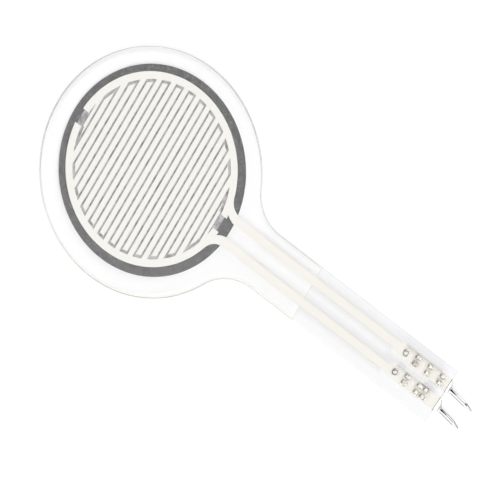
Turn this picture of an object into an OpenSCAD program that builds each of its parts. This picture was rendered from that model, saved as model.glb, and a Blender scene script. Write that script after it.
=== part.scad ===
// Thin film force sensor: a round printed head, a flat tail and two crimped solder terminals.
// Origin at the centre of the head's underside, +X along the tail, +Z out of the sensing face.

/* [Films] */
// Radius of the round head
head_r = 14; // [13:0.5:18]
// Thickness of the cover film, which carries the silver print
cover_t = 0.1; // [0.08:0.01:0.2]
// Thickness of the base film, which carries the carbon print
base_t = 0.1; // [0.08:0.01:0.2]
// Thickness of the adhesive between the films
spacer_t = 0.1; // [0.08:0.01:0.2]
// Width of the tail
tail_w = 7; // [6:0.1:9]
// Sideways place of the tail's centre line
tail_y = -0.15; // [-0.4:0.05:0.4]
// Length from the head's centre to the cut end of the tail
tail_len = 44.2; // [42.5:0.1:60]
// How far the cut at the tail's end runs off square, across its width
end_skew = 0.4; // [0:0.1:0.6]
// Length from the head's centre to the end of the base film
base_len = 23.8; // [20:0.1:30]
// Radius of the inside corner between head and tail, +Y side
corner_a_r = 5.3; // [4:0.1:7]
// Radius of the inside corner between head and tail, -Y side
corner_b_r = 6; // [4:0.1:7]

/* [Head print] */
// Lengthwise place of the silver combs' centre
comb_x = -0.16; // [-0.4:0.01:0.4]
// Sideways place of the silver combs' centre
comb_y = 0.29; // [-0.4:0.01:0.4]
// Lengthwise place of the carbon disc's centre
carbon_x = 0.03; // [-0.3:0.01:0.3]
// Sideways place of the carbon disc's centre
carbon_y = 0.27; // [-0.3:0.01:0.3]
// Thickness of the carbon print
carbon_t = 0.02; // [0.01:0.005:0.03]
// Thickness of the silver print
silver_t = 0.02; // [0.01:0.005:0.03]
// Outer radius of the two silver combs
comb_r = 10.87; // [10.85:0.01:11]
// How far the carbon disc reaches past the combs
carbon_rim = 0.96; // [0.3:0.01:1.5]
// How far the adhesive covers the combs' outer rim, up to its round window
window_rim = 0.3; // [0.1:0.01:0.5]
// Width of the bus that joins a comb's fingers
bus_w = 0.87; // [0.6:0.01:0.9]
// Distance from one finger gap to the next
finger_pitch = 0.845; // [0.835:0.005:0.85]
// Gap between two fingers
finger_gap = 0.23; // [0.15:0.01:0.3]
// Gap between a finger's tip and the other comb's bus
tip_gap = 0.34; // [0.2:0.01:0.4]
// Number of gaps between fingers
gap_count = 23; // [17:2:23]
// Width of the two outermost fingers
edge_finger_w = 0.37; // [0.25:0.01:0.4]
// Half length of the square stretch of the outermost fingers
edge_reach = 0.9; // [0.5:0.1:1]
// Opening between the ends of the two buses
break_w = 1.8; // [1.2:0.1:2]

/* [Leads] */
// Sideways place of the centre line between the two leads
lead_y = 0.12; // [-0.3:0.01:0.3]
// Width of a lead
lead_w = 1.14; // [0.9:0.02:1.3]
// Distance between the leads' centre lines
lead_pitch = 2.84; // [2.6:0.02:3]
// Radius of the outer curve from bus to lead
neck_out_r = 1.95; // [1.5:0.05:2.1]
// Radius of the inner curve from bus to lead
neck_in_r = 2.2; // [2:0.05:2.6]
// Length of a pad, back from the tail's end
pad_len = 6.7; // [6.7:0.1:9]
// Length over which a lead widens into its pad
pad_taper = 1.1; // [0.5:0.1:2]
// Width of a pad
pad_w = 1.8; // [1.6:0.05:2]

/* [Terminals] */
// Distance between the two terminals
terminal_pitch = 2.54; // [2.54:0.01:2.7]
// Thickness of the sheet metal
metal_t = 0.14; // [0.12:0.01:0.16]
// Width of the base plate
plate_w = 1.4; // [1.3:0.05:1.5]
// Length of the base plate, from its front to the bend
plate_len = 7.2; // [7.15:0.05:7.3]
// Size of the cut off corners at the front of the base plate
plate_nose = 0.35; // [0.1:0.05:0.5]
// Distance from the plate's front to the lance
lance_back = 0.45; // [0.4:0.05:0.8]
// Width across the lance at its root
lance_w = 0.56; // [0.4:0.02:0.6]
// Height of the lance above the cover film
lance_rise = 0.3; // [0.15:0.05:0.4]
// Distance from the plate's front to the first pair of tines
tine_back = 2; // [1.6:0.1:2.4]
// Distance from one pair of tines to the next
tine_step = 1.87; // [1.8:0.01:1.95]
// Number of pairs of tines
tine_pairs = 3; // [2:1:3]
// How far the last pair of tines is set back on the -Y terminal
last_pair_back = 0.95; // [0:0.05:0.95]
// Width of a tine along the terminal
tine_w = 0.6; // [0.4:0.05:0.7]
// Mean radius of a tine's curl
curl_r = 0.2; // [0.16:0.01:0.24]
// Clearance between a curled tip and the cover film
curl_clear = 0.04; // [0.02:0.01:0.08]
// Clearance of the metal in the slots that it cut
slot_clear = 0.03; // [0.01:0.01:0.05]
// How far the base plate reaches past the tail's end
plate_past = 0.15; // [0.05:0.05:0.4]
// Length of the ramp between plate and pin
ramp_len = 0.5; // [0.4:0.05:1]
// Drop of the ramp
ramp_drop = 0.82; // [0.4:0.01:1]
// Length of the tapered shoulder
shoulder_len = 0.75; // [0.6:0.05:1.2]
// Length of the pin past the ramp, along the part
pin_len = 4.2; // [3.5:0.05:6]
// How much shorter the pin of the -Y terminal is
pin_short = 0.4; // [0:0.05:0.5]
// Width of the folded pin
pin_w = 0.46; // [0.4:0.02:0.7]
// Downward slope of the pin in degrees
pin_slope = 17; // [0:1:25]
// Gap between the pin's lower sheet and the leaves folded over it
leaf_gap = 0.02; // [0.01:0.01:0.05]
// Length of the pin's pointed tip
tip_len = 1.05; // [0.6:0.05:1.5]
// Width of the pin's blunt end
tip_w = 0.12; // [0.08:0.02:0.2]
// Width of the seam between the folded leaves
seam_w = 0.06; // [0.04:0.01:0.1]
// Width of the seam where the leaves part at the shoulder
seam_mouth_w = 0.2; // [0.12:0.02:0.26]
// Length of the parted stretch of the seam
seam_mouth_len = 0.9; // [0.6:0.1:1.5]

/* [Hidden] */
$fn = 96;

// Heights of the faces that the layers share
spacer_z = base_t;
cover_z = base_t + spacer_t;
top_z = cover_z + cover_t;
silver_z = cover_z - silver_t;

// Radii worked out from the combs' sizes
bus_in_r = comb_r - bus_w;
tip_r = bus_in_r - tip_gap;
carbon_r = comb_r + carbon_rim;
window_r = comb_r - window_rim;

// A cut starts and ends this far outside what it cuts
over = 0.5;

// Places along the terminal and its pad
bend_x = tail_len + end_skew / 2 + plate_past;
plate_x = bend_x - plate_len;
lance_x = plate_x + lance_back;
tine_x = plate_x + tine_back;
pad_x = tail_len - pad_len;
pin_x = bend_x + ramp_len;
pin_z = silver_z - ramp_drop;
leg_y = plate_w / 2 - metal_t / 2;
fold_h = 2 * metal_t + leaf_gap;

// X of a terminal's pairs of tines, counted from the front
function pair_x(side, i) = tine_x + i * tine_step - (side < 0 && i == tine_pairs - 1 ? last_pair_back : 0);

// Length of a terminal's pin, X of its tip and of the end of its seam
function pin_run(side) = pin_len - (side < 0 ? pin_short : 0);
function pin_end_x(side) = pin_x + pin_run(side);
function seam_end_x(side) = pin_end_x(side) - tip_len;

// How far a sloping pin has dropped at a given X. Both tips end at the same height.
function pin_drop(side, x) = (x - pin_x) * tan(pin_slope) * pin_len / pin_run(side);

// X of the slanted cut at the tail's end, at a given Y
function cut_x(y) = tail_len + end_skew * (y - tail_y) / tail_w;

// The same points in the opposite order
function turned(points) = [for (i = [len(points) - 1 : -1 : 0]) points[i]];

// Y of the tail's edge on one side, side being 1 or -1
function tail_edge(side) = tail_y + side * tail_w / 2;

// Y of a lead's outer and inner edges
function lead_out(side) = lead_y + side * (lead_pitch + lead_w) / 2;
function lead_in(side) = lead_y + side * (lead_pitch - lead_w) / 2;

// Y of a pad's outer and inner edges, and of its centre
function pad_mid(side) = lead_y + side * terminal_pitch / 2;
function pad_out(side) = pad_mid(side) + side * pad_w / 2;
function pad_in(side) = pad_mid(side) - side * pad_w / 2;

// X of the centre of the curve that leads from the bus into a lead
function neck_x(side) =
    comb_x + sqrt(pow(comb_r + neck_out_r, 2) - pow(lead_out(side) + side * neck_out_r - comb_y, 2));

// X of the middle of a finger gap, counted from the combs' centre
function gap_x(k) = (k - (gap_count - 1) / 2) * finger_pitch;

// Centre of the round inside corner between head and tail on one side, tangent to both
function corner_mid(side, r) =
    [sqrt(pow(head_r + r, 2) - pow(tail_edge(side) + side * r, 2)), tail_edge(side) + side * r];

// Plan of a film: round head, and tail up to the given points with its inside corners rounded
module film_plan(end_a, end_b) {
    mid_a = corner_mid(1, corner_a_r);
    mid_b = corner_mid(-1, corner_b_r);
    circle(head_r);
    difference() {
        polygon([
            [0, tail_y],
            mid_b * head_r / (head_r + corner_b_r),
            mid_b,
            [mid_b[0], tail_edge(-1)],
            [end_b, tail_edge(-1)],
            [end_a, tail_edge(1)],
            [mid_a[0], tail_edge(1)],
            mid_a,
            mid_a * head_r / (head_r + corner_a_r)
        ]);
        translate(mid_a) circle(corner_a_r);
        translate(mid_b) circle(corner_b_r);
    }
}

module base_plan() {
    film_plan(base_len, base_len);
}

// Ring sector of one comb, cut off square at the break
module bus_plan(side) {
    low = lead_y - comb_y + side * break_w / 2;
    intersection() {
        difference() {
            circle(comb_r);
            circle(bus_in_r);
        }
        translate([-comb_r, side > 0 ? low : low - 2 * comb_r]) square(2 * comb_r);
    }
}

// One finger between x0 and x1: from its own bus to the arc that its tip keeps from the other bus
module finger_plan(side, x0, x1) {
    mid_r = bus_in_r + bus_w / 2;
    intersection() {
        translate([x0, -comb_r]) square([x1 - x0, 2 * comb_r]);
        union() {
            circle(tip_r);
            square([2 * bus_in_r, 2 * edge_reach], center = true);
            intersection() {
                circle(mid_r);
                translate([-comb_r, side > 0 ? 0 : -comb_r]) square([2 * comb_r, comb_r]);
            }
        }
    }
}

// Every other finger belongs to the same comb, starting with the leftmost for the +Y comb
module fingers_plan(side) {
    for (j = [0 : gap_count])
        if ((j % 2 == 0) == (side > 0))
            finger_plan(side,
                j == 0 ? gap_x(0) - finger_gap / 2 - edge_finger_w : gap_x(j - 1) + finger_gap / 2,
                j == gap_count ? gap_x(j - 1) + finger_gap / 2 + edge_finger_w : gap_x(j) - finger_gap / 2);
}

// Lead of one side, from the neck that curves out of the bus to the pad at the tail's cut end
module lead_plan(side) {
    mid_x = neck_x(side);
    out_y = lead_out(side) + side * neck_out_r;
    in_y = lead_in(side) + side * neck_in_r;
    // The strip is rooted in the middle of the bus, on the line to the outer curve's centre
    root = [comb_x, comb_y] + [mid_x - comb_x, out_y - comb_y] * (comb_r - bus_w / 2) / (comb_r + neck_out_r);
    outline = [
        [mid_x - neck_in_r, lead_in(side)],
        [pad_x - pad_taper, lead_in(side)],
        [pad_x, pad_in(side)],
        [cut_x(pad_in(side)), pad_in(side)],
        [cut_x(pad_out(side)), pad_out(side)],
        [pad_x, pad_out(side)],
        [pad_x - pad_taper, lead_out(side)],
        [mid_x, lead_out(side)],
        [mid_x, out_y],
        root,
        [mid_x - neck_in_r, in_y]
    ];
    difference() {
        polygon(side > 0 ? outline : turned(outline));
        translate([mid_x, out_y]) circle(neck_out_r);
        difference() {
            translate([mid_x - neck_in_r - over, side > 0 ? in_y - neck_in_r - over : in_y])
                square(neck_in_r + over);
            translate([mid_x, in_y]) circle(neck_in_r);
        }
    }
}

// Slots that the lance and the tines cut through film and print
module slots_plan(side) {
    translate([lance_x, pad_mid(side)]) rotate(45) square(lance_w + 2 * slot_clear, center = true);
    for (i = [0 : tine_pairs - 1], edge = [-1, 1])
        translate([pair_x(side, i), pad_mid(side) + edge * leg_y])
            square([tine_w + 2 * slot_clear, metal_t + 2 * slot_clear], center = true);
}

// Whole silver print of one side
module comb_plan(side) {
    translate([comb_x, comb_y]) {
        bus_plan(side);
        fingers_plan(side);
    }
    lead_plan(side);
}

module cover_film() {
    color([0.93, 0.95, 0.97, 0.35])
        translate([0, 0, cover_z])
            linear_extrude(cover_t)
                difference() {
                    film_plan(cut_x(tail_edge(1)), cut_x(tail_edge(-1)));
                    slots_plan(1);
                    slots_plan(-1);
                }
}

module base_film() {
    color([0.93, 0.95, 0.97, 0.35]) linear_extrude(base_t) base_plan();
}

// Adhesive between the films, with the window and with room for both prints
module spacer_adhesive() {
    color([0.96, 0.95, 0.88, 0.6])
        difference() {
            translate([0, 0, spacer_z]) linear_extrude(spacer_t) base_plan();
            translate([comb_x, comb_y, spacer_z - over]) cylinder(h = spacer_t + 2 * over, r = window_r);
            translate([carbon_x, carbon_y, spacer_z - over]) cylinder(h = carbon_t + over, r = carbon_r);
            for (side = [-1, 1])
                translate([0, 0, silver_z]) linear_extrude(silver_t + over) comb_plan(side);
        }
}

module carbon_disc() {
    color([0.16, 0.16, 0.17]) translate([carbon_x, carbon_y, spacer_z]) cylinder(h = carbon_t, r = carbon_r);
}

module silver_comb(side) {
    color([0.93, 0.91, 0.84])
        translate([0, 0, silver_z])
            linear_extrude(silver_t)
                difference() {
                    comb_plan(side);
                    slots_plan(side);
                }
}

// Side view of the terminal: plate under the pad, ramp on which the leaves rise, sloping folded pin
// and a tip that thins to one sheet
module terminal_side(side) {
    low_z = pin_z - metal_t;
    tip_x = pin_end_x(side);
    taper_x = seam_end_x(side);
    polygon([
        [plate_x, silver_z - metal_t],
        [bend_x - metal_t * tan(atan(ramp_drop / ramp_len) / 2), silver_z - metal_t],
        [pin_x, low_z],
        [tip_x, low_z - pin_drop(side, tip_x)],
        [tip_x, low_z - pin_drop(side, tip_x) + metal_t],
        [taper_x, low_z - pin_drop(side, taper_x) + fold_h],
        [pin_x, low_z + fold_h],
        [bend_x, silver_z],
        [plate_x, silver_z]
    ]);
}

// Plan of the terminal: plate, tapered shoulder, pin and pointed tip
module terminal_plan(side) {
    both_sides([
        [plate_x, plate_w / 2 - plate_nose],
        [plate_x + plate_nose, plate_w / 2],
        [bend_x, plate_w / 2],
        [bend_x + shoulder_len, pin_w / 2],
        [seam_end_x(side), pin_w / 2],
        [pin_end_x(side), tip_w / 2]
    ]);
}

// Side view of the room between the folded leaves, down to the sheet that carries them
module seam_side(side) {
    polygon([
        [bend_x, silver_z],
        [pin_x, pin_z],
        [seam_end_x(side), pin_z - pin_drop(side, seam_end_x(side))],
        [seam_end_x(side), silver_z],
        [bend_x, silver_z + over]
    ]);
}

// Plan of that room: it narrows from the shoulder to the closed seam
module seam_plan(side) {
    both_sides([
        [bend_x, plate_w / 2 - metal_t],
        [pin_x, seam_mouth_w / 2],
        [pin_x + seam_mouth_len, seam_w / 2],
        [seam_end_x(side) + over, seam_w / 2]
    ]);
}

// Outline through the given points and their mirror images across the terminal's centre line
module both_sides(upper) {
    lower = [for (point = upper) [point[0], -point[1]]];
    polygon(concat(lower, turned(upper)));
}

// Solid that has the first child as its side view and the second as its plan
module two_views() {
    intersection() {
        translate([0, plate_w, 0]) rotate([90, 0, 0]) linear_extrude(2 * plate_w) children(0);
        translate([0, 0, -pin_len]) linear_extrude(2 * pin_len) children(1);
    }
}

// One tine: a leg up through the film and a half curl back over it, towards the terminal's centre line
module tine(edge) {
    curl_z = top_z + curl_clear;
    leg_h = curl_z - silver_z + metal_t;
    translate([-tine_w / 2, edge * leg_y - metal_t / 2, silver_z - metal_t]) cube([tine_w, metal_t, leg_h]);
    translate([0, edge * (leg_y - curl_r), curl_z])
        rotate([90, 0, 90])
            rotate_extrude(angle = 180)
                translate([curl_r - metal_t / 2, -tine_w / 2]) square([metal_t, tine_w]);
}

// Four sided point that stands up through the film at the front of the plate
module lance() {
    rise = top_z + lance_rise - silver_z;
    translate([lance_x, 0, silver_z])
        rotate(45)
            intersection() {
                lance_wedge(rise);
                rotate(90) lance_wedge(rise);
            }
}

module lance_wedge(rise) {
    rotate([90, 0, 0])
        translate([0, 0, -lance_w])
            linear_extrude(2 * lance_w)
                polygon([[-lance_w / 2, 0], [lance_w / 2, 0], [0, rise]]);
}

module terminal(side) {
    color([0.86, 0.86, 0.84])
        translate([0, pad_mid(side), 0]) {
            difference() {
                two_views() {
                    terminal_side(side);
                    terminal_plan(side);
                }
                two_views() {
                    seam_side(side);
                    seam_plan(side);
                }
            }
            lance();
            for (i = [0 : tine_pairs - 1], edge = [-1, 1])
                translate([pair_x(side, i), 0, 0]) tine(edge);
        }
}

module silver_comb_a() {
    silver_comb(1);
}

module silver_comb_b() {
    silver_comb(-1);
}

module terminal_a() {
    terminal(1);
}

module terminal_b() {
    terminal(-1);
}

cover_film();
base_film();
spacer_adhesive();
carbon_disc();
silver_comb_a();
silver_comb_b();
terminal_a();
terminal_b();
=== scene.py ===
import bpy
import numpy as np
from mathutils import Matrix, Vector


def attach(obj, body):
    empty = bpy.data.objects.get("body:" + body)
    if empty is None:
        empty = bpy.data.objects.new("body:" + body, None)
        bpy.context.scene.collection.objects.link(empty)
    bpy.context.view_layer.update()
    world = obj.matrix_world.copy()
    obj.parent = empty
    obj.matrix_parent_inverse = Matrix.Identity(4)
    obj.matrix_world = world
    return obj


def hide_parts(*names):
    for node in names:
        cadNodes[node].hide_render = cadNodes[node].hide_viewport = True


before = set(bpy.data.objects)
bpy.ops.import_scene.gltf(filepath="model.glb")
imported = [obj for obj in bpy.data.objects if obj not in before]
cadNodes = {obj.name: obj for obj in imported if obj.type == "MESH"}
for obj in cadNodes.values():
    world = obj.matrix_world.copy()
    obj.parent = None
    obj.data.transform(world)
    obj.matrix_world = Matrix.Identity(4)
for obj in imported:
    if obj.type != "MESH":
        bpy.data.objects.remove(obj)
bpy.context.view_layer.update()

mm = 0.001  # the tables below are in millimetres, the scene is in metres


# A number that varies over a surface; + - * / and ** add the Math nodes
class Mark:
    def __init__(self, paint, socket):
        self.paint = paint
        self.socket = socket

    def math(self, operation, *values):
        return self.paint.node("ShaderNodeMath", {"operation": operation}, dict(enumerate(values)))

    # another output of the node that this number comes from
    def output(self, name):
        return Mark(self.paint, self.socket.node.outputs[name])

    def __add__(self, other):
        return self.math("ADD", self, other)

    def __radd__(self, other):
        return self.math("ADD", other, self)

    def __sub__(self, other):
        return self.math("SUBTRACT", self, other)

    def __rsub__(self, other):
        return self.math("SUBTRACT", other, self)

    def __mul__(self, other):
        return self.math("MULTIPLY", self, other)

    def __rmul__(self, other):
        return self.math("MULTIPLY", other, self)

    def __truediv__(self, other):
        return self.math("DIVIDE", self, other)

    def __rtruediv__(self, other):
        return self.math("DIVIDE", other, self)

    def __pow__(self, other):
        return self.math("POWER", self, other)

    def __abs__(self):
        return self.math("ABSOLUTE", self)

    def least(self, other):
        return self.math("MINIMUM", self, other)

    def most(self, other):
        return self.math("MAXIMUM", self, other)

    def cosine(self):
        return self.math("COSINE", self)

    # the angle whose tangent is this over the other
    def angle(self, other):
        return self.math("ARCTAN2", self, other)

    # a smooth rise from 0 at the first value to 1 at the second, which may be the lower of the two
    def step(self, zeroAt, oneAt):
        ends = {"Value": self, "From Min": zeroAt, "From Max": oneAt}
        return self.paint.node("ShaderNodeMapRange", {"interpolation_type": "SMOOTHSTEP"}, ends)

    # 1 within a half width of the centre, and down to 0 over the soft distance beside it
    def band(self, centre, half, soft):
        return abs(self - centre).step(half + soft, half)

    # this number where the amount is 0, the other where it is 1
    def towards(self, other, amount):
        return self + (other - self) * amount


# The nodes of one material, or of the world
class Paint:
    def __init__(self, owner):
        self.owner = owner
        owner.use_nodes = True
        self.tree = owner.node_tree
        self.tree.nodes.clear()

    # adds a node: its settings first, then numbers, colours or links into its sockets
    def node(self, kind, settings=None, inputs=None, output=0):
        made = self.tree.nodes.new(kind)
        for name, value in (settings or {}).items():
            setattr(made, name, value)
        for name, value in (inputs or {}).items():
            if isinstance(value, Mark):
                self.tree.links.new(value.socket, made.inputs[name])
            else:
                made.inputs[name].default_value = value
        return Mark(self, made.outputs[output]) if made.outputs else None

    # a vector taken apart: the mark is its X, and the mark's outputs Y and Z are the others
    def split(self, vector):
        return self.node("ShaderNodeSeparateXYZ", {}, {0: vector})

    # object coordinates in millimetres, as a vector and as three numbers
    def place(self):
        metres = self.node("ShaderNodeTexCoord", output="Object")
        point = self.node("ShaderNodeVectorMath", {"operation": "SCALE"}, {0: metres, "Scale": 1 / mm})
        x = self.split(point)
        return point, x, x.output("Y"), x.output("Z")

    # a stretched copy of a point, so that a pattern runs along one axis
    def stretch(self, point, scale):
        return self.node("ShaderNodeVectorMath", {"operation": "MULTIPLY"}, {0: point, 1: scale})

    def noise(self, point, scale, detail, roughness):
        sockets = {"Vector": point, "Scale": scale, "Detail": detail, "Roughness": roughness}
        return self.node("ShaderNodeTexNoise", {}, sockets)

    # the first colour where the amount is 0, the second where it is 1; the node's colour sockets are
    # numbers 6 and 7 going in and 2 coming out
    def blend(self, amount, first, second):
        return self.node("ShaderNodeMix", {"data_type": "RGBA"}, {0: amount, 6: first, 7: second}, 2)

    def bump(self, height, strength, depth):
        sockets = {"Height": height, "Strength": strength, "Distance": depth * mm}
        return self.node("ShaderNodeBump", {}, sockets)

    def attribute(self, name, output="Fac"):
        return self.node("ShaderNodeAttribute", {"attribute_name": name}, {}, output)

    # how far a point of the plan is from a fixed point, in millimetres
    def reach(self, x, y, centreX, centreY):
        return ((x - centreX) ** 2 + (y - centreY) ** 2) ** 0.5

    # 1 for what the camera sees itself, in a mirror or through glass, and 0 for light on its way
    def seen(self):
        rays = self.node("ShaderNodeLightPath", output="Is Camera Ray")
        return rays.most(rays.output("Is Glossy Ray")).most(rays.output("Is Transmission Ray"))

    def finish(self, shader, kind="ShaderNodeOutputMaterial"):
        self.node(kind, {}, {"Surface": shader})
        return self.owner

    # ends a material in one Principled shader
    def finishSurface(self, sockets):
        return self.finish(self.node("ShaderNodeBsdfPrincipled", {}, sockets))


def newPaint(name):
    return Paint(bpy.data.materials.new(name))


def grey(level):
    return (level, level, level, 1)


# In all tables a Fade is (value of no effect, value of full effect), a Span is (centre, half width,
# soft distance), a Grain is (scale, detail, roughness), a relief is (strength, depth), and a Share
# is how much of a tone goes on at most.

# The film outline: a round head with a tail, its two inside corners rounded. Its points are counted for
# each stretch, and joinGap keeps the first point of a straight side off the arc that it meets.
filmShape = {
    "headR": 14.0,
    "tailMid": -0.15,
    "tailW": 7.0,
    "tailEnd": 44.2,
    "endSkew": 0.4,
    "stepX": 23.8,
    "cornerUp": 5.3,
    "cornerDown": 6.0,
    "windowMid": (-0.16, 0.29),
    "windowR": 10.57,
    "points": {"head": 260, "corner": 36, "side": 38, "end": 8},
    "joinGap": 0.2,
}
# The two printed leads and the wider pads at their ends
leads = {
    "mid": 0.12,
    "pitch": 2.84,
    "width": 1.14,
    "padPitch": 2.54,
    "padWidth": 1.8,
    "padFade": (36.4, 37.5),
}
# The lowest and highest level of each clear layer, with a hair of air between them and the prints, and
# the rim that both films have: its ease in a few steps, and how far in its rows of points lie
layers = {
    "base": (0.0, 0.092),
    "spacer": (0.128, 0.172),
    "cover": (0.208, 0.3),
    "spacerInset": 0.03,
    "rimRound": 0.02,
    "rimSteps": 4,
    "rimRows": (1.6, 0.9, 0.45, 0.2),  # the cap begins at the first
}


# Points along an arc: centre plus radius times (cos, sin) of evenly spaced angles
def arc(centre, radius, start, end, count):
    turn = np.linspace(start, end, count)
    way = np.stack([np.cos(turn), np.sin(turn)], 1)
    return np.array(centre) + radius * way, way


# The closed outline, counter-clockwise from the tail's lower end corner, with its outward normals.
# Straight edges keep one normal, arcs take the direction from their centre (towards it where the arc
# is hollow), and the two end corners take the mitre of both edges.
def filmOutline(endUp, endDown):
    shape, counts, gap = filmShape, filmShape["points"], filmShape["joinGap"]
    yUp = shape["tailMid"] + shape["tailW"] / 2
    yDown = shape["tailMid"] - shape["tailW"] / 2
    head, rUp, rDown = shape["headR"], shape["cornerUp"], shape["cornerDown"]
    midUp = np.array([np.sqrt((head + rUp) ** 2 - (yUp + rUp) ** 2), yUp + rUp])
    midDown = np.array([np.sqrt((head + rDown) ** 2 - (yDown - rDown) ** 2), yDown - rDown])
    leanUp = np.arctan2(midUp[1], midUp[0])
    leanDown = np.arctan2(midDown[1], midDown[0])
    along = np.array([endUp - endDown, yUp - yDown])
    endNormal = np.array([along[1], -along[0]]) / np.hypot(*along)

    def edge(start, end, count, normal, clearStart, clearEnd):
        length = np.hypot(end[0] - start[0], end[1] - start[1])
        t = np.linspace(clearStart / length, 1 - clearEnd / length, count)[:, None]
        return np.array(start) * (1 - t) + np.array(end) * t, np.tile(normal, (count, 1))

    def corner(point, first, second):
        mitre = (np.array(first) + second) / (1 + np.dot(first, second))
        return np.array([point]), np.array([mitre])

    hollowUp, wayUp = arc(midUp, rUp, -np.pi / 2, leanUp - np.pi, counts["corner"])
    headArc, wayHead = arc((0, 0), head, leanUp, leanDown + 2 * np.pi, counts["head"])
    hollowDown, wayDown = arc(midDown, rDown, leanDown + np.pi, np.pi / 2, counts["corner"])
    clear = layers["rimRows"][0] + gap  # nearer a corner, a point's inset would cross the corner's own
    parts = [
        corner((endDown, yDown), (0, -1), endNormal),
        edge((endDown, yDown), (endUp, yUp), counts["end"], endNormal, clear, clear),
        corner((endUp, yUp), endNormal, (0, 1)),
        edge((endUp, yUp), (midUp[0], yUp), counts["side"], (0, 1), clear, gap),
        (hollowUp, -wayUp),
        (headArc[1:-1], wayHead[1:-1]),
        (hollowDown, -wayDown),
        edge((midDown[0], yDown), (endDown, yDown), counts["side"], (0, -1), gap, clear),
    ]
    return np.concatenate([p for p, n in parts]), np.concatenate([n for p, n in parts])


# A mesh object from a grid of points (rows x columns x 3, millimetres). Rows join into quads and close
# on themselves, and the first and last rows are capped, joined to each other or left open.
def gridPiece(name, grid, ends, material):
    rows, columns = grid.shape[:2]
    number = np.arange(rows * columns).reshape(rows, columns)
    upper = number if ends == "joined" else number[:-1]
    lower = np.roll(number, -1, 0) if ends == "joined" else number[1:]
    quads = np.stack([upper, lower, np.roll(lower, -1, 1), np.roll(upper, -1, 1)], 2)
    faces = quads.reshape(-1, 4).tolist()
    if ends == "capped":
        faces += [number[0].tolist(), number[-1][::-1].tolist()]
    mesh = bpy.data.meshes.new(name)
    mesh.from_pydata((grid.reshape(-1, 3) * mm).tolist(), [], faces)
    mesh.validate()
    mesh.materials.append(material)
    piece = bpy.data.objects.new(name, mesh)
    bpy.context.scene.collection.objects.link(piece)
    return piece


# Stores a number or a vector on every vertex, for the materials to read
def storeOnPoints(piece, name, values):
    kind, field = ("FLOAT", "value") if values.ndim == 1 else ("FLOAT_VECTOR", "vector")
    stored = piece.data.attributes.new(name, kind, "POINT")
    stored.data.foreach_set(field, values.astype(np.float32).ravel())


# The rim's cross-section from the top cap's edge to the bottom cap's: inward distance and height.
# Its two outer corners are eased by a short quarter turn.
def rimProfile(low, high):
    ease = layers["rimRound"]
    turn = np.linspace(0, np.pi / 2, layers["rimSteps"])
    inward = np.array(layers["rimRows"])
    top = np.stack([inward, np.full(len(inward), high)], 1)
    over = np.stack([ease * (1 - np.sin(turn)), high - ease * (1 - np.cos(turn))], 1)
    under = np.stack([over[::-1, 0], low + high - over[::-1, 1]], 1)
    bottom = np.stack([inward[::-1], np.full(len(inward), low)], 1)
    return np.concatenate([top, over, under, bottom])


# A film: the rim profile carried round the outline, point = outline - normal * inward, capped above
# and below
def filmSheet(name, endUp, endDown, heights, material):
    outline, normal = filmOutline(endUp, endDown)
    profile = rimProfile(*heights)
    flat = outline[None] - profile[:, None, :1] * normal[None]
    height = np.broadcast_to(profile[:, None, 1:], flat.shape[:2] + (1,))
    piece = gridPiece(name, np.concatenate([flat, height], 2), "capped", material)
    storeOnPoints(piece, "rimDistance", np.repeat(profile[:, 0], len(outline)))
    facing = np.concatenate([normal, np.zeros((len(normal), 1))], 1)
    storeOnPoints(piece, "rimFacing", np.tile(facing, (len(profile), 1)))
    return piece


# The adhesive: its outer rows follow the outline, its inner rows are circle points in the same
# directions from the window's centre, and the four rows join into a closed ring
def adhesiveSheet(name, material):
    outline, normal = filmOutline(filmShape["stepX"], filmShape["stepX"])
    centre = np.array(filmShape["windowMid"])
    way = outline - centre
    way /= np.hypot(way[:, 0], way[:, 1])[:, None]
    inner = centre + way * filmShape["windowR"]
    outer = outline - normal * layers["spacerInset"]
    low, high = layers["spacer"]
    rows = [(outer, high), (outer, low), (inner, low), (inner, high)]
    grid = np.stack([np.concatenate([flat, np.full((len(flat), 1), z)], 1) for flat, z in rows])
    return gridPiece(name, grid, "joined", material)


# Clear polyester: almost nothing is seen of it but its cut edges and a faint haze. Single means past
# the step, where only the cover film goes on: it is bluer there, and a painted shadow is added to its
# haze off the leads, more of it towards the upper edge and most beside the upper pad.
filmLook = {
    "tint": (0.66, 0.69, 0.74, 1),
    "singleTint": (0.42, 0.45, 0.52, 1),
    "haze": 0.011,
    "hazeGrain": (0.35, 3.0, 0.5),
    "singleShadow": 0.03,
    "upShadow": 0.034,
    "upFade": (2.35, 2.9),
    "padShadow": 0.03,
    "padSpan": (39.8, 2.65, 0.15),
    "edgeTone": (0.30, 0.31, 0.28, 1),
    "edgeLine": 0.8,
    "edgeFade": (0.09, 0.02),
    "edgeGrain": (0.9, 2.0, 0.5),
    # a painted glow of light inside the rim on the lit side, whose way is given below, and a painted
    # shade inside the rim on the far side
    "paintedGlowTone": (0.62, 0.66, 0.33, 1),
    "litWay": (0.56, -0.83),  # the side whose rim has a warm line inside it; the far side is shaded
    "paintedGlow": 0.04,
    "paintedGlowFade": (0.45, 0.1),
    "paintedGlowEndFade": (24.5, 22.5),
    "farShade": 0.035,
    "farFade": (0.8, 0.25),
    "farEndFade": (24.2, 23.2),
    "roughness": 0.12,
    "rippleGrain": (0.5, 2.0, 0.5),
    "relief": (0.2, 0.02),
}
# How strongly the cut edge shows: a mean and three swells round the head, then the tail's edges
edgeShares = {
    "head": 0.38,
    "swing": 0.14,
    "turn": 0.16,
    "tailFade": (14.0, 17.0),
    "tailUp": 0.27,
    "tailDown": 0.17,
    "singleUp": 0.14,
    "endFade": (20.0, 21.0),
    "baseEnd": 0.13,
    "cutEnd": 0.40,
    "besidePads": 0.2,
    "padsSpan": (leads["mid"], 2.1, 0.4),
}
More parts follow.
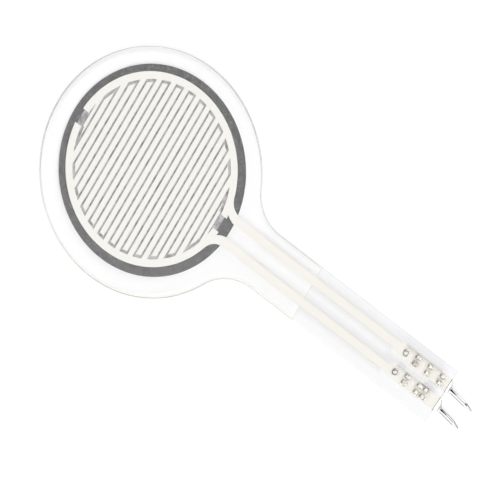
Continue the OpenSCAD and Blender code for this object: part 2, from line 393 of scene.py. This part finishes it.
# Painted shadow in the cover film, by how much it covers: a fine line above each lead and a soft band
# below it, a line along the upper pad, and a patch and a spot of it in the film between the two pads
coverShadows = {
    "tone": (0.3, 0.3, 0.3, 1),
    "startFade": (13.0, 17.0),
    "endFade": (37.2, 36.4),
    "above": 0.045,
    "below": 0.03,
    "singleBelow": 0.085,
    "belowReach": 0.9,
    "belowEndFade": (36.6, 35.6),
    "pad": 0.10,
    "padSpan": (40.0, 2.4, 0.8),
    "betweenSpan": (leads["mid"], 0.42, 0.1),
    "patch": 0.15,
    "patchStartFade": (41.45, 41.65),
    "patchEndFade": (43.8, 42.3),
    "padGapShade": 0.09,
    "padGapShadeSpan": (38.15, 0.3, 0.5),
}


# The share for an edge that faces the stored way: round the head, along the tail, or across its end
def edgeShare(x, y, facing, isCover):
    shares = edgeShares
    head = shares["head"] - shares["swing"] * (3 * y.angle(x) - shares["turn"]).cosine()
    double = 1 - x.step(filmShape["stepX"] - 0.2, filmShape["stepX"] + 0.1)
    upEdge = double * (shares["tailUp"] - shares["singleUp"]) + shares["singleUp"]
    downEdge = shares["tailDown"] * double
    tail = downEdge.towards(upEdge, facing.output("Y").step(-0.3, 0.3))
    share = head.towards(tail, x.step(*shares["tailFade"]))
    atEnd = facing.output("X").step(0.6, 0.9) * x.step(*shares["endFade"])
    overPads = shares["besidePads"] + (1 - shares["besidePads"]) * y.band(*shares["padsSpan"])
    return share.towards(shares["cutEnd"] * overPads if isCover else shares["baseEnd"], atEnd)


# 1 over the leads and over the wider pads at their ends, 0 beside them
def overPrint(x, y):
    wider = x.step(*leads["padFade"])
    offset = (leads["pitch"] + (leads["padPitch"] - leads["pitch"]) * wider) / 2
    half = (leads["width"] + (leads["padWidth"] - leads["width"]) * wider) / 2
    return (abs(abs(y - leads["mid"]) - offset) - half).step(0.05, -0.03)


def coverShadowMarks(x, y, single):
    lines = coverShadows
    shadowMarks = 0
    # painted shadow beside each lead: a fine line above it and a soft band below it
    for side in (1, -1):
        centre = leads["mid"] + side * leads["pitch"] / 2
        above = y.band(centre + leads["width"] / 2 - 0.02, 0.05, 0.16)
        down = y - (centre - leads["width"] / 2)
        below = down.step(-lines["belowReach"], 0.0) * down.step(0.08, -0.04)
        below = below * x.step(*lines["belowEndFade"])
        depth = lines["below"] + (lines["singleBelow"] - lines["below"]) * single
        shadowMarks = shadowMarks + lines["above"] * above + depth * below
    shadowMarks = shadowMarks * x.step(*lines["startFade"]) * x.step(*lines["endFade"])
    # painted shadow along the upper pad, and a patch and a spot of painted shade between the two pads
    padEdge = leads["mid"] + (leads["padPitch"] + leads["padWidth"]) / 2
    shadowMarks = shadowMarks + lines["pad"] * y.band(padEdge + 0.05, 0.05, 0.2) * x.band(*lines["padSpan"])
    patch = (x - 0.5 * y).step(*lines["patchStartFade"]) * x.step(*lines["patchEndFade"])
    patch = lines["patch"] * patch * (1 - 0.45 * y.step(-0.1, 0.4))
    padGapShade = lines["padGapShade"] * x.band(*lines["padGapShadeSpan"]) * y.step(0.6, -0.1)
    return shadowMarks + y.band(*lines["betweenSpan"]) * (patch + padGapShade)


# Haze, edges, a painted glow and the painted shadow marks add up to the film's opacity, and each tints
# it by its part of the sum; the haze and the edges carry painted shadow and shade too
def filmPaint(name, isCover):
    look = filmLook
    paint = newPaint(name)
    point, x, y, z = paint.place()
    inward = paint.attribute("rimDistance")
    facing = paint.split(paint.attribute("rimFacing", "Vector"))
    wayX, wayY = look["litWay"]
    near = wayX * facing + wayY * facing.output("Y")
    single = x.step(filmShape["stepX"] - 0.25, filmShape["stepX"] - 0.05)
    haze = look["haze"] * (0.6 + 0.8 * paint.noise(point, *look["hazeGrain"]))
    if isCover:
        # painted shadow of the film on the paper beneath: past the step off the leads and pads, and
        # more towards the upper edge and beside the upper pad
        haze = haze + look["singleShadow"] * single * (1 - overPrint(x, y))
        besidePadShadow = look["padShadow"] * x.band(*look["padSpan"])
        haze = haze + y.step(*look["upFade"]) * (look["upShadow"] * single + besidePadShadow)
    line = inward.step(*look["edgeFade"]) * (0.7 + 0.6 * paint.noise(point, *look["edgeGrain"]))
    line = look["edgeLine"] * line * edgeShare(x, y, facing, isCover)
    # a painted shade inside the rim on the far side, added to the edge line and tinted with the edge
    # tone
    far = inward.step(*look["farFade"]) * near.step(-0.1, -0.85) * x.step(*look["farEndFade"])
    line = line + look["farShade"] * far
    # a painted glow of light inside the rim on the lit side, on the head and the double part
    paintedGlow = inward.step(*look["paintedGlowFade"]) * near.step(0.1, 0.85) * x.step(*look["paintedGlowEndFade"])
    paintedGlow = look["paintedGlow"] * paintedGlow
    total = line + paintedGlow + haze
    colour = look["tint"]
    if isCover:
        # the painted shadows of the leads and pads
        shadowMarks = coverShadowMarks(x, y, single)
        total = total + shadowMarks
        colour = paint.blend(single, look["tint"], look["singleTint"])
        colour = paint.blend(shadowMarks / total, colour, coverShadows["tone"])
    colour = paint.blend(line / total, colour, look["edgeTone"])
    colour = paint.blend(paintedGlow / total, colour, look["paintedGlowTone"])
    return paint.finishSurface({
        "Base Color": colour,
        "Roughness": look["roughness"],
        "IOR": 1.6,
        "Alpha": total.least(0.95),
        "Normal": paint.bump(paint.noise(point, *look["rippleGrain"]), *look["relief"]),
    })


# Clear acrylic adhesive: a faint cloudiness
adhesiveLook = {
    "tone": (0.88, 0.88, 0.85, 1),
    "haze": 0.006,
    "cloud": 0.016,
    "cloudGrain": (1.1, 4.0, 0.5),
    "roughness": 0.4,
}


def adhesivePaint():
    look = adhesiveLook
    paint = newPaint("clearAdhesive")
    point, x, y, z = paint.place()
    return paint.finishSurface({
        "Base Color": look["tone"],
        "Roughness": look["roughness"],
        "Alpha": look["haze"] + look["cloud"] * paint.noise(point, *look["cloudGrain"]),
    })


# Both prints lie under a film, and their coat is the gloss of that film
filmGloss = {"Coat Weight": 1.0, "Coat Roughness": 0.15}
# Printed carbon: near black where the adhesive wets it, paler behind the air gap of the window. The
# darkest tone has a share everywhere, more of one on the ring's +Y side, and comes and goes in mottles.
carbonLook = {
    "ring": (0.080, 0.080, 0.081, 1),
    "window": grey(0.5),
    "darkest": grey(0.02),
    "darkShare": 0.2,
    "denser": 0.5,
    "denserFade": (-4.0, 4.0),
    "mottle": 3.0,
    "mottleGrain": (0.9, 6.0, 0.75),
    "speck": (0.42, 0.42, 0.41, 1),
    "speckShare": 0.25,
    "speckGrain": (3.5, 2.0, 0.5),
    "speckFade": (0.62, 0.7),
    "roughness": 0.75,
    "relief": (0.3, 0.01),
}


def carbonPaint():
    look = carbonLook
    paint = newPaint("carbonInk")
    point, x, y, z = paint.place()
    fromMid = paint.reach(x, y, *filmShape["windowMid"])
    inWindow = fromMid.step(filmShape["windowR"] + 0.05, filmShape["windowR"] - 0.05)
    inRing = 1 - inWindow
    grain = paint.noise(point, *look["mottleGrain"])
    tone = paint.blend(inWindow, look["ring"], look["window"])
    dark = look["darkShare"] + look["denser"] * y.step(*look["denserFade"]) * inRing
    dark = dark + look["mottle"] * (grain - 0.5)
    tone = paint.blend(dark.most(0.0).least(1.0), tone, look["darkest"])
    specks = paint.noise(point, *look["speckGrain"]).step(*look["speckFade"])
    tone = paint.blend(look["speckShare"] * specks * inRing, tone, look["speck"])
    return paint.finishSurface({
        "Base Color": tone,
        "Roughness": look["roughness"],
        "Normal": paint.bump(grain, *look["relief"]),
        **filmGloss,
    })


# Printed silver: warm white with a fine screen grain, bruised round the crimps, with painted shade
# there along the pads' +Y side, in a ring round each lance and along a crease in the lower pad
silverLook = {
    "head": (0.879, 0.862, 0.817, 1),
    "lead": (0.876, 0.852, 0.79, 1),
    "leadFade": (11.0, 15.0),
    "grainTone": (0.76, 0.72, 0.64, 1),
    "screenGrain": (4.5, 5.0, 0.65),
    "screenShare": 0.08,
    "broadGrain": (0.7, 2.0, 0.5),
    "broadShare": 0.05,
    "blotchGrain": (1.9, 4.0, 0.6),
    "bruise": (0.42, 0.40, 0.35, 1),
    "bruiseShare": 0.45,
    "bruiseReachFade": (1.0, 0.25),
    "bruiseFade": (0.38, 0.62),
    "shade": (0.50, 0.47, 0.43, 1),
    "shadeShare": 0.6,
    "shadeSpan": (40.2, 2.3, 0.7),
    "shadeSideFade": (0.25, 0.75),
    "holeShadeTone": (0.06, 0.05, 0.04, 1),
    "creaseShadowTone": grey(0.12),
    "creaseShadowShare": 0.75,
    "endTone": (0.24, 0.19, 0.13, 1),
    "endShare": 0.8,
    "endFade": (0.11, 0.03),
    "roughness": 0.55,
    "relief": (0.25, 0.006),
}
# Where the lances and tines come through the pads, the upper pad's before the lower one's, and the
# painted shadow of a crease along X in the lower pad
crimps = {
    "pads": (leads["mid"] + leads["padPitch"] / 2, leads["mid"] - leads["padPitch"] / 2),
    "tineX": ((39.35, 41.22, 43.09), (39.35, 41.22, 42.14)),
    "lanceX": 37.8,
    "lanceR": 0.32,
    "creaseShadowLengthSpan": (41.87, 0.45, 0.2),
    "creaseShadowWidthSpan": (-0.37, 0.05, 0.08),
}


# 1 on the upper pad's side of the middle, 0 on the lower pad's
def onUpper(y):
    return y.step(leads["mid"] - 0.01, leads["mid"] + 0.01)


# How far a point lies to the +Y side of the centre line of its own pad
def offPad(y):
    upper, lower = crimps["pads"]
    return y - (lower + (upper - lower) * onUpper(y))


def silverPaint():
    look = silverLook
    paint = newPaint("silverInk")
    point, x, y, z = paint.place()
    grain = paint.noise(paint.stretch(point, (1, 1, 0)), *look["screenGrain"])
    broad = paint.noise(point, *look["broadGrain"])
    blotch = paint.noise(point, *look["blotchGrain"])
    tone = paint.blend(x.step(*look["leadFade"]), look["head"], look["lead"])
    worn = look["screenShare"] * grain + look["broadShare"] * broad
    tone = paint.blend(worn, tone, look["grainTone"])
    press = 0
    for padY, tines in zip(crimps["pads"], crimps["tineX"]):
        for crimpX in (crimps["lanceX"],) + tines:
            press = press + paint.reach(x, y, crimpX, padY).step(*look["bruiseReachFade"])
    press = (press * blotch.step(*look["bruiseFade"])).least(1.0)
    tone = paint.blend(look["bruiseShare"] * press, tone, look["bruise"])
    for padY in crimps["pads"]:
        # painted shade in a ring round each lance's torn hole
        holeShade = paint.reach(x, y, crimps["lanceX"] - 0.04, padY).band(crimps["lanceR"], 0.05, 0.06)
        tone = paint.blend((holeShade * (2.4 * blotch - 0.25)).least(1.0).most(0.0), tone, look["holeShadeTone"])
    # painted shade on the +Y side of each pad, round the crimps
    shade = offPad(y).step(*look["shadeSideFade"]) * x.band(*look["shadeSpan"])
    shade = look["shadeShare"] * shade * (0.25 + 1.1 * blotch)
    tone = paint.blend(shade.least(1.0), tone, look["shade"])
    # the painted shadow of a crease in the lower pad
    creaseShadow = x.band(*crimps["creaseShadowLengthSpan"]) * y.band(*crimps["creaseShadowWidthSpan"])
    tone = paint.blend(look["creaseShadowShare"] * creaseShadow, tone, look["creaseShadowTone"])
    lean = filmShape["endSkew"] / filmShape["tailW"]
    cutX = filmShape["tailEnd"] + lean * (y - filmShape["tailMid"])
    atCut = look["endShare"] * (cutX - x).step(*look["endFade"])
    tone = paint.blend(atCut, tone, look["endTone"])
    return paint.finishSurface({
        "Base Color": tone,
        "Roughness": look["roughness"],
        "Normal": paint.bump(grain, *look["relief"]),
        **filmGloss,
    })


# Tin plated brass: bright on the pins, darker and grainy where the crimps come through the film, with
# painted shade and painted light on both
metalLook = {
    "bright": (0.93, 0.93, 0.92, 1),
    "rolled": (0.70, 0.70, 0.68, 1),
    "rolledWay": (0.4, 6, 6),
    "rolledGrain": (2.2, 3.0, 0.5),
    "rolledShare": 0.35,
    "surfaceGrain": (3.0, 4.0, 0.6),
    # the tone of the painted shade on the pins' flanks and along their +Y rim
    "edge": grey(0.14),
    "flankShadeShare": 0.6,
    "rimShadeShare": 0.85,
    # the tone of the painted shade in the seam's mouth, also used for a dark spot by the upper tip
    "inside": grey(0.045),
    "curlGrain": (4.5, 4.0, 0.7),
    "curlFade": (0.44, 0.56),
    "curlLight": (0.88, 0.87, 0.82, 1),
    "curlMid": (0.55, 0.53, 0.46, 1),
    # the tone of the painted shade at the tines' feet and in their rear rings, also put on one side of
    # the first upper pair
    "curlFoot": (0.34, 0.325, 0.27, 1),
    "footFade": (0.44, 0.36),
    "curlPit": (0.12, 0.115, 0.09, 1),
    "pitFade": (0.40, 0.34),
    "tinesFade": (38.2, 38.6),
    "darkSideSpan": (39.4, 0.5, 0.1),
    "darkSideFade": (0.0, -0.2),
    "laterFade": (40.4, 40.6),
    "laterShare": 0.2,
    "headwardFade": (0.3, 0.7),
    "headwardShare": 0.8,
    "rearSpan": (0.16, 0.06, 0.1),
    "rearShare": 0.55,
    "lanceMid": (-0.07, -0.08),
    "lanceHighlightFade": (0.2, 0.12),
    "lanceInnerFade": (0.13, 0.22),
    "lanceOuterFade": (0.42, 0.3),
    "metallic": 1.0,
    "curlMetallic": 0.3,
    "roughness": 0.3,
    "rolledRoughness": 0.15,
    "curlRoughness": 0.25,
    "relief": (0.3, 0.012),
}
# Places along the pin: its bend, the tapered shoulder, the seam's parted mouth and the pointed tip.
# The lower pin is shorter, and its mouth lies further back.
pinShape = {
    "bendX": 44.55,
    "shoulder": 0.75,
    "plateHalf": 0.7,
    "pinHalf": 0.23,
    "tipX": 48.2,
    "tipLen": 1.05,
    "endHalf": 0.06,
    "shorter": 0.4,
    "mouthX": 45.67,
    "mouthReach": 0.5,
    "mouthBack": 0.2,
    "mouthHalf": 0.11,
    "seamHalf": 0.03,
    "neckFade": (45.4, 45.1),
    "flankSpan": (46.6, 1.2, 0.2),
    "plainSpan": (47.1, 0.6, 0.3),
    "spotSpan": (48.06, 0.15, 0.1),
}


# The pin's half width: it narrows over the shoulder, stays, and narrows again from the given tip place
def pinHalf(x, tipX):
    pin = pinShape
    shoulderSlope = (pin["plateHalf"] - pin["pinHalf"]) / pin["shoulder"]
    tipSlope = (pin["pinHalf"] - pin["endHalf"]) / pin["tipLen"]
    shoulder = pin["plateHalf"] - (x - pin["bendX"]) * shoulderSlope
    tip = pin["pinHalf"] - (x - tipX) * tipSlope
    return shoulder.most(pin["pinHalf"]).least(tip)


# The pin: rolled grain, a painted shade along its +Y rim and on its steep flanks, a painted shade in
# the seam's open mouth, and a dark spot by the upper tip
def pinTone(paint, x, aside, upper, upward, grain, rolled):
    look, pin = metalLook, pinShape
    lower = 1 - upper
    tipX = pin["tipX"] - pin["shorter"] * lower
    onPin = x.step(pin["bendX"] - 0.3, pin["bendX"] - 0.1)
    # painted shade on the steep flanks and, below, along the pin's +Y rim
    flankShade = abs(upward).step(0.45, 0.2) * x.band(*pin["flankSpan"])
    broad = 0.05 + 0.07 * x.step(*pin["neckFade"]) + 0.05 * (x - tipX).step(0.0, 0.2) + 0.03 * lower
    rimShade = ((pinHalf(x, tipX) - aside) / broad).step(1.6, 0.8) * (0.5 + 0.8 * grain)
    rimShade = rimShade * (1 - 0.6 * upper * x.band(*pin["plainSpan"]))
    fromMouth = x - (pin["mouthX"] + pin["mouthBack"] * lower)
    seamHalf = (pin["mouthHalf"] - (fromMouth + pin["mouthReach"]) * 0.08).most(pin["seamHalf"])
    # painted shade in the seam's parted mouth
    mouthShade = (abs(aside - 0.03) - seamHalf).step(0.03, -0.02)
    mouthShade = mouthShade * fromMouth.band(0, pin["mouthReach"], 0.08)
    spot = (abs(aside - 0.05) - 0.10).step(0.04, -0.02) * x.band(*pin["spotSpan"])
    spot = spot * upper * (0.5 + 0.5 * grain)
    tone = paint.blend(look["rolledShare"] * rolled, look["bright"], look["rolled"])
    dark = (look["flankShadeShare"] * flankShade).most(look["rimShadeShare"] * rimShade)
    tone = paint.blend((onPin * dark).least(1.0), tone, look["edge"])
    return paint.blend(mouthShade.most(spot), tone, look["inside"])


# The curled tines: a fine grain of two tones, a painted shade at their feet by the film, pitted, darker
# on one side of the first upper pair, and from the second pair on a painted light where they face the
# head, with rings of painted shade at their rear
def curlTone(paint, x, aside, z, upper, headward, fine):
    look = metalLook
    lower = 1 - upper
    later = x.step(*look["laterFade"])
    # painted shade at the tines' feet, where they meet the film; worn sets how much of it and of the
    # pits goes on: none at the lances, less on the lower pad's later tines
    worn = x.step(*look["tinesFade"]) * (1 - 0.6 * lower * later)
    foot = z.step(*look["footFade"]) * worn
    tone = paint.blend(fine.step(*look["curlFade"]), look["curlMid"], look["curlLight"])
    tone = paint.blend(foot * (0.4 + 0.6 * fine.step(0.6, 0.4)), tone, look["curlFoot"])
    tone = paint.blend(fine.step(*look["pitFade"]) * worn, tone, look["curlPit"])
    # darker on one side of the first upper pair
    darkSide = upper * x.band(*look["darkSideSpan"]) * aside.step(*look["darkSideFade"])
    tone = paint.blend(darkSide * (0.08 + 0.6 * fine.step(0.42, 0.56)), tone, look["curlFoot"])
    tone = paint.blend(look["laterShare"] * lower * later, tone, look["curlLight"])
    # painted light on the faces turned towards the head, from the second pair on
    lit = look["headwardShare"] * later * headward.step(*look["headwardFade"])
    tone = paint.blend(lit, tone, look["curlLight"])
    for tines, onSide in zip(crimps["tineX"], (upper, lower)):
        for tineX in tines[1:]:
            # rings of painted shade at the rear of each later tine
            rear = (x - tineX).band(*look["rearSpan"]) * fine.step(0.62, 0.46)
            tone = paint.blend(look["rearShare"] * rear * onSide, tone, look["curlFoot"])
    return tone


def metalPaint():
    look = metalLook
    paint = newPaint("tinPlate")
    point, x, y, z = paint.place()
    grain = paint.noise(point, *look["surfaceGrain"])
    fine = paint.noise(point, *look["curlGrain"])
    rolled = paint.noise(paint.stretch(point, look["rolledWay"]), *look["rolledGrain"])
    normal = paint.split(paint.node("ShaderNodeTexCoord", output="Normal"))
    aside, upper = offPad(y), onUpper(y)
    filmTop = layers["cover"][1]
    above = z.step(filmTop, filmTop + 0.04)
    tone = pinTone(paint, x, aside, upper, normal.output("Z"), grain, rolled)
    tone = paint.blend(above, tone, curlTone(paint, x, aside, z, upper, 0 - normal, fine))
    # a ring of painted shade round each lance's point and a painted highlight on its top
    lanceX, lanceY = look["lanceMid"]
    fromLance = paint.reach(x, aside, crimps["lanceX"] + lanceX, lanceY)
    lanceShade = fromLance.step(*look["lanceInnerFade"]) * fromLance.step(*look["lanceOuterFade"])
    tone = paint.blend(lanceShade * (0.15 + 0.65 * fine.step(0.62, 0.42)), tone, look["curlPit"])
    tone = paint.blend(fromLance.step(*look["lanceHighlightFade"]), tone, look["bright"])
    roughness = look["roughness"] + look["rolledRoughness"] * rolled + look["curlRoughness"] * above
    return paint.finishSurface({
        "Base Color": tone,
        "Metallic": look["metallic"] + (look["curlMetallic"] - look["metallic"]) * above,
        "Roughness": roughness,
        "Normal": paint.bump(grain, *look["relief"]),
    })


def dress(material, *nodes):
    for node in nodes:
        mesh = cadNodes[node].data
        mesh.materials.clear()
        mesh.materials.append(material)


dress(carbonPaint(), "carbon_disc")
dress(silverPaint(), "silver_comb_a", "silver_comb_b")
dress(metalPaint(), "terminal_a", "terminal_b")
print("prints and terminals painted")

endX, skew, stepX = filmShape["tailEnd"], filmShape["endSkew"] / 2, filmShape["stepX"]
coverFilm = filmPaint("coverFilm", True)
baseFilm = filmPaint("baseFilm", False)
# Each piece with the CAD node that it replaces
clearPieces = [
    (filmSheet("coverSheet", endX + skew, endX - skew, layers["cover"], coverFilm), "cover_film"),
    (filmSheet("baseSheet", stepX, stepX, layers["base"], baseFilm), "base_film"),
    (adhesiveSheet("adhesiveSheet", adhesivePaint()), "spacer_adhesive"),
]
for piece, node in clearPieces:
    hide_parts(node)
    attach(piece, "root")
print("clear layers laid:", ", ".join(piece.name for piece, node in clearPieces))


# The part lies on its head's far rim and on both pin tips, so the floor is the plane through the three
floorLook = {
    "rimX": -14.0,
    "tips": ((49.25, 1.39), (48.85, -1.15)),
    "tipZ": -2.06,
    "hair": 0.008,
    "middleX": 15,
    "rings": (0.001, 60, 150, 400, 1500),
    "around": 96,
    "colour": (0.82, 0.82, 0.82, 1),
    "share": 0.58,
    "white": 1.17,
}


# The floor: rings of points at growing radii, height = slopeX * (x - rimX) + slopeY * y, less a hair.
# The two slopes are those for which both tips lie on it.
def floorDisc():
    look = floorLook
    spans = [[tipX - look["rimX"], tipY] for tipX, tipY in look["tips"]]
    slopeX, slopeY = np.linalg.solve(spans, [look["tipZ"], look["tipZ"]])
    radii = np.array(look["rings"])[:, None]
    turn = np.linspace(0, 2 * np.pi, look["around"], endpoint=False)[None]
    x = look["middleX"] + radii * np.cos(turn)
    y = radii * np.sin(turn)
    z = slopeX * (x - look["rimX"]) + slopeY * y - look["hair"]
    return np.stack([x, y, z], 2)


# Matt paper with a share of plain white for what the camera sees, and clear from below
def floorPaint():
    look = floorLook
    paint = newPaint("paperFloor")
    seen = paint.seen()
    matt = paint.node("ShaderNodeBsdfDiffuse", {}, {"Color": look["colour"]})
    white = paint.node("ShaderNodeEmission", {}, {"Color": grey(1), "Strength": look["white"]})
    lit = paint.node("ShaderNodeMixShader", {}, {0: look["share"] * seen, 1: matt, 2: white})
    under = paint.node("ShaderNodeNewGeometry", output="Backfacing")
    clear = paint.node("ShaderNodeBsdfTransparent")
    return paint.finish(paint.node("ShaderNodeMixShader", {}, {0: under * seen, 1: lit, 2: clear}))


floor = gridPiece("floorPaper", floorDisc(), "open", floorPaint())
print("floor set under the head's rim and the pin tips")

# Big soft lamps, all aimed at the middle of the part: place and size in metres, power in watts
lampTable = {
    "keyLamp": ((0.18, -0.38, 0.56), 0.22, 2.5),
    "fillLamp": ((0.35, 0.45, 0.55), 0.6, 1.2),
    "backLamp": ((-0.5, 0.1, 0.5), 0.6, 0.9),
}
lampAim = Vector((0.015, 0, 0))
for name, (spot, size, power) in lampTable.items():
    lamp = bpy.data.lights.new(name, "AREA")
    lamp.shape = "SQUARE"
    lamp.size = size
    lamp.energy = power
    holder = bpy.data.objects.new(name, lamp)
    holder.location = spot
    holder.rotation_mode = "QUATERNION"
    holder.rotation_quaternion = (Vector(spot) - lampAim).to_track_quat("Z", "Y")
    holder.visible_camera = False
    bpy.context.scene.collection.objects.link(holder)

worldLight = {"ambient": 0.40, "seen": 1.0}
room = Paint(bpy.data.worlds.new("whiteRoom"))
dim = room.node("ShaderNodeBackground", {}, {"Color": grey(1), "Strength": worldLight["ambient"]})
full = room.node("ShaderNodeBackground", {}, {"Color": grey(1), "Strength": worldLight["seen"]})
mixed = room.node("ShaderNodeMixShader", {}, {0: room.seen(), 1: dim, 2: full})
bpy.context.scene.world = room.finish(mixed, "ShaderNodeOutputWorld")
print("lamps and white room ready")

# A long lens from high up on the head's side, rolled so that the tail runs to the lower right
cameraSetup = {
    "spot": (-0.83949, -0.65274, 1.94392),
    "target": (0.015126, -0.000129, 0),
    "upInPicture": (-0.56321, 0.82579, 0.02962),
    "lens": 1440,
}
lensData = bpy.data.cameras.new("longLens")
lensData.sensor_width = 36
lensData.lens = cameraSetup["lens"]
lensData.clip_start = 0.1
lensData.clip_end = 10
camera = bpy.data.objects.new("longLens", lensData)
eye = Vector(cameraSetup["spot"])
backward = (eye - Vector(cameraSetup["target"])).normalized()
right = Vector(cameraSetup["upInPicture"]).cross(backward).normalized()
upright = backward.cross(right)
turned = Matrix((right, upright, backward)).transposed().to_4x4()
camera.matrix_world = Matrix.Translation(eye) @ turned
bpy.context.scene.collection.objects.link(camera)
bpy.context.scene.camera = camera
bpy.context.scene.view_settings.view_transform = "Standard"
bpy.context.scene.cycles.transparent_max_bounces = 48  # six clear faces each way, twice over
print("camera set")
